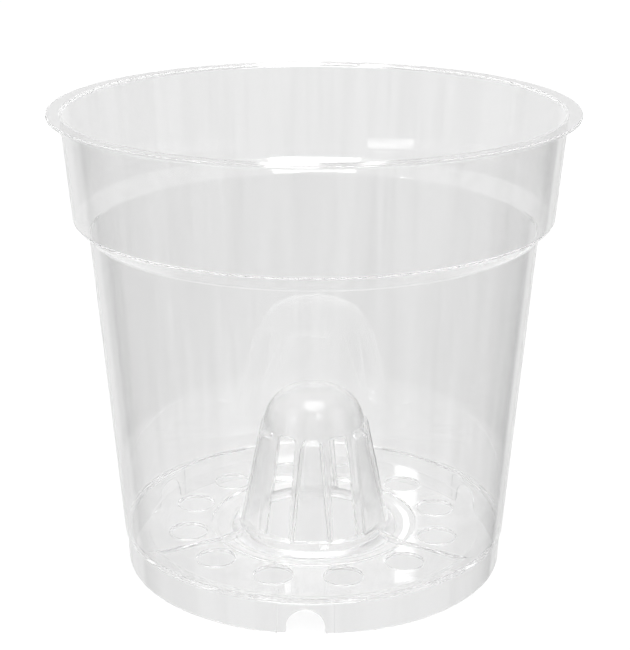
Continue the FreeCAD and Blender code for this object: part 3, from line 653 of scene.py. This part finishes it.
# Lamps and windows that show as highlights: degrees sideways from and to, sine of the height from and
# to, how much the height changes per degree, and the level. Their edges fade out over patchEdge.
patchEdge = {"bearing": 0.25, "height": 0.0015}
patches = [
    (-1.9, 0.1, 0.16, 0.5, 0.0, 1.2), (1.7, 2.4, 0.18, 0.3, 0.0, 1.0),
    (3.4, 4.2, 0.36, 0.46, 0.0, 3.0), (-153, -128, -0.056, -0.052, -0.0004, 3.0),
    (-180, 180, 0.955, 1.0, 0.0, 5.0), (-127, -122, 0.54, 0.66, 0.0, 30.0),
    (-119, -115, 0.56, 0.62, 0.0, 30.0), (153, 169, 0.7, 0.88, 0.0, 20.0),
]


# Adds one patch to the surround
def patchTree():
    tree = bpy.data.node_groups.new("lightPatch", "ShaderNodeTree")
    for label in ("Bearing", "Upwards", "Left", "Right", "Low", "High", "Tilt", "Level"):
        tree.interface.new_socket(label, in_out="INPUT", socket_type="NodeSocketFloat")
    tree.interface.new_socket("Level", in_out="OUTPUT", socket_type="NodeSocketFloat")
    entry = tree.nodes.new("NodeGroupInput").outputs
    shares = []
    along = math2(tree, "SUBTRACT", entry["Bearing"], entry["Left"])
    straight = math2(tree, "SUBTRACT", entry["Upwards"], math2(tree, "MULTIPLY", along, entry["Tilt"]))
    for value, start, end, soft in (
            (entry["Bearing"], "Left", "Right", patchEdge["bearing"]),
            (straight, "Low", "High", patchEdge["height"])):
        middle = math2(tree, "MULTIPLY", math2(tree, "ADD", entry[start], entry[end]), 0.5)
        half = math2(tree, "MULTIPLY", math2(tree, "SUBTRACT", entry[end], entry[start]), 0.5)
        away = math2(tree, "ABSOLUTE", math2(tree, "SUBTRACT", value, middle))
        shares.append(fade(tree, math2(tree, "SUBTRACT", away, half), soft, -soft))
    level = math2(tree, "MULTIPLY", math2(tree, "MULTIPLY", *shares), entry["Level"])
    place(tree, "NodeGroupOutput", {"Level": level})
    return tree


# Level by share of the full turn, from straight behind the camera round and back to it
def levelRing(tree, share, levels):
    ramp = place(tree, "ShaderNodeValToRGB", {"Fac": share})
    stops = ramp.color_ramp.elements
    for stop, level in ((stops[0], levels[0][1]), (stops[1], levels[-1][1])):
        stop.color = (level, level, level, 1)
    for degrees, level in levels[1:-1]:
        stops.new(degrees / 360 + 0.5).color = (level, level, level, 1)
    return ramp.outputs[0]


def makeWorld():
    world = bpy.data.worlds.new("surround")
    scene.world = world
    world.use_nodes = True
    tree = world.node_tree
    tree.nodes.clear()
    way = place(tree, "ShaderNodeTexCoord").outputs["Generated"]
    turn = math.radians(view["azimuth"])
    right = (math.cos(turn), math.sin(turn), 0)
    ahead = (-math.sin(turn), math.cos(turn), 0)
    sideways, forwards = [
        place(tree, "ShaderNodeVectorMath", {0: way, 1: axis}, operation="DOT_PRODUCT").outputs["Value"]
        for axis in (right, ahead)]
    upwards = place(tree, "ShaderNodeSeparateXYZ", {0: way}).outputs["Z"]
    bearing = math2(tree, "ARCTAN2", sideways, forwards)
    path = place(tree, "ShaderNodeLightPath").outputs
    inner = moreThan(tree, path, "Transmission", limits["frontWall"])
    outer = math2(tree, "LESS_THAN", path["Transmission Depth"], limits["outside"])
    share = math2(tree, "MULTIPLY_ADD", bearing, 0.5 / math.pi, 0.5)
    through = mixValue(tree, inner, tent["rim"], levelRing(tree, share, tent["innerLevels"]))
    through = mixValue(tree, fade(tree, upwards, *tent["innerLow"]), tent["table"], through)
    direct = levelRing(tree, share, tent["levels"])
    direct = mixValue(tree, fade(tree, upwards, *tent["outerLow"]), tent["table"], direct)
    belt = mixValue(tree, outer, through, direct)
    around = mixValue(tree, fade(tree, upwards, *tent["beltHigh"]), belt, tent["ceiling"])
    straight = math2(tree, "LESS_THAN", path["Glossy Depth"], limits["once"])
    straightOn = math2(tree, "MULTIPLY", path["Is Transmission Ray"], straight)
    seen = math2(tree, "MAXIMUM", path["Is Camera Ray"], straightOn)
    reflected = moreThan(tree, path, "Glossy", limits["once"])
    trapped = moreThan(tree, path, "Glossy", limits["twice"])
    height = fade(tree, upwards, *tent["ambientReach"])
    ambient = mixValue(tree, height, tent["ambientLow"], tent["ambientHigh"])
    patch = patchTree()
    degrees = math2(tree, "DEGREES", bearing)
    labels = ("Left", "Right", "Low", "High", "Tilt", "Level")
    for values in patches:
        where = {"Bearing": degrees, "Upwards": upwards, **dict(zip(labels, values))}
        glint = place(tree, "ShaderNodeGroup", where, node_tree=patch)
        around = math2(tree, "ADD", around, glint.outputs[0])
    forward = fade(tree, math2(tree, "ABSOLUTE", degrees), *tent["frontLight"])
    overhead = math2(tree, "MULTIPLY", fade(tree, upwards, *tent["beltHigh"]), forward)
    twice = mixValue(tree, overhead, tent["inside"], tent["frontLevel"])
    level = mixValue(tree, trapped, mixValue(tree, reflected, ambient, around), twice)
    level = mixValue(tree, seen, level, mixValue(tree, path["Is Camera Ray"], tent["behind"], 1.0))
    light = place(tree, "ShaderNodeBackground", {"Color": level})
    place(tree, "ShaderNodeOutputWorld", {"Surface": light.outputs[0]})


# The floor that the camera sees is a little brighter than what shows through the plastic. To light that
# was reflected it is a grey disc under the pot, with the surround round it. Sizes in metres.
floorLook = {"size": 6.0, "color": (0.92, 0.92, 0.92, 1), "glowShare": 0.7, "glow": 1.02,
             "underPot": (0.084, 0.091), "underLevel": 0.5}


def makeFloor():
    f = floorLook
    bm = bmesh.new()
    half = f["size"] / 2
    bm.faces.new([bm.verts.new((x * half, y * half, 0)) for x, y in ((-1, -1), (1, -1), (1, 1), (-1, 1))])
    mesh = bpy.data.meshes.new("floor")
    bm.to_mesh(mesh)
    bm.free()
    floor = newPiece("floor", mesh)
    material = bpy.data.materials.new("paleFloor")
    material.use_nodes = True
    tree = material.node_tree
    tree.nodes.clear()
    path = place(tree, "ShaderNodeLightPath").outputs
    paint = place(tree, "ShaderNodeBsdfDiffuse", {"Color": f["color"]})
    level = mixValue(tree, path["Is Camera Ray"], tent["behind"], f["glow"])
    glow = place(tree, "ShaderNodeEmission", {"Color": (1, 1, 1, 1), "Strength": level})
    share = math2(tree, "MAXIMUM", math2(tree, "MULTIPLY", path["Is Camera Ray"], f["glowShare"]),
                  path["Is Transmission Ray"])
    shown = place(tree, "ShaderNodeMixShader", {0: share, 1: paint.outputs[0], 2: glow.outputs[0]})
    reflected = moreThan(tree, path, "Glossy", limits["once"])
    spot = place(tree, "ShaderNodeTexCoord").outputs["Object"]
    far = place(tree, "ShaderNodeVectorMath", {0: spot}, operation="LENGTH").outputs["Value"]
    inner = moreThan(tree, path, "Transmission", limits["frontWall"])
    disc = mixValue(tree, inner, tent["rim"], f["underLevel"])
    under = place(tree, "ShaderNodeEmission", {"Strength": disc})
    nothing = place(tree, "ShaderNodeBsdfTransparent")
    outer = math2(tree, "LESS_THAN", path["Transmission Depth"], limits["outside"])
    gone = math2(tree, "MAXIMUM", fade(tree, far, *f["underPot"]), outer)
    mirrored = place(tree, "ShaderNodeMixShader", {0: gone, 1: under.outputs[0], 2: nothing.outputs[0]})
    surface = place(tree, "ShaderNodeMixShader", {0: reflected, 1: shown.outputs[0], 2: mirrored.outputs[0]})
    place(tree, "ShaderNodeOutputMaterial", {"Surface": surface.outputs[0]})
    mesh.materials.append(material)


# Soft lamps over the front, millimetres from the foot. Reflections show the patches in their place.
lampAim = (0, 0, 60)
lamps = {
    "keyLamp": {"place": (-560, -330, 560), "size": 170, "watts": 1.6},
    "fillLamp": {"place": (140, -420, 640), "size": 260, "watts": 1.2},
}


def makeLamps():
    for name, values in lamps.items():
        data = bpy.data.lights.new(name, "AREA")
        data.shape = "SQUARE"
        data.size = values["size"] * mm
        data.energy = values["watts"]
        lamp = newPiece(name, data)
        lamp.location = Vector(values["place"]) * mm
        lamp.visible_glossy = False
        lamp.visible_transmission = False
        aim = Vector(lampAim) * mm - lamp.location
        lamp.rotation_euler = aim.to_track_quat("-Z", "Y").to_euler()


makeCamera()
makeWorld()
makeFloor()
makeLamps()
scene.view_settings.view_transform = "Standard"
scene.cycles.max_bounces = 32
scene.cycles.transmission_bounces = 32
scene.cycles.glossy_bounces = 12
scene.cycles.transparent_max_bounces = 24
print("studio ready")
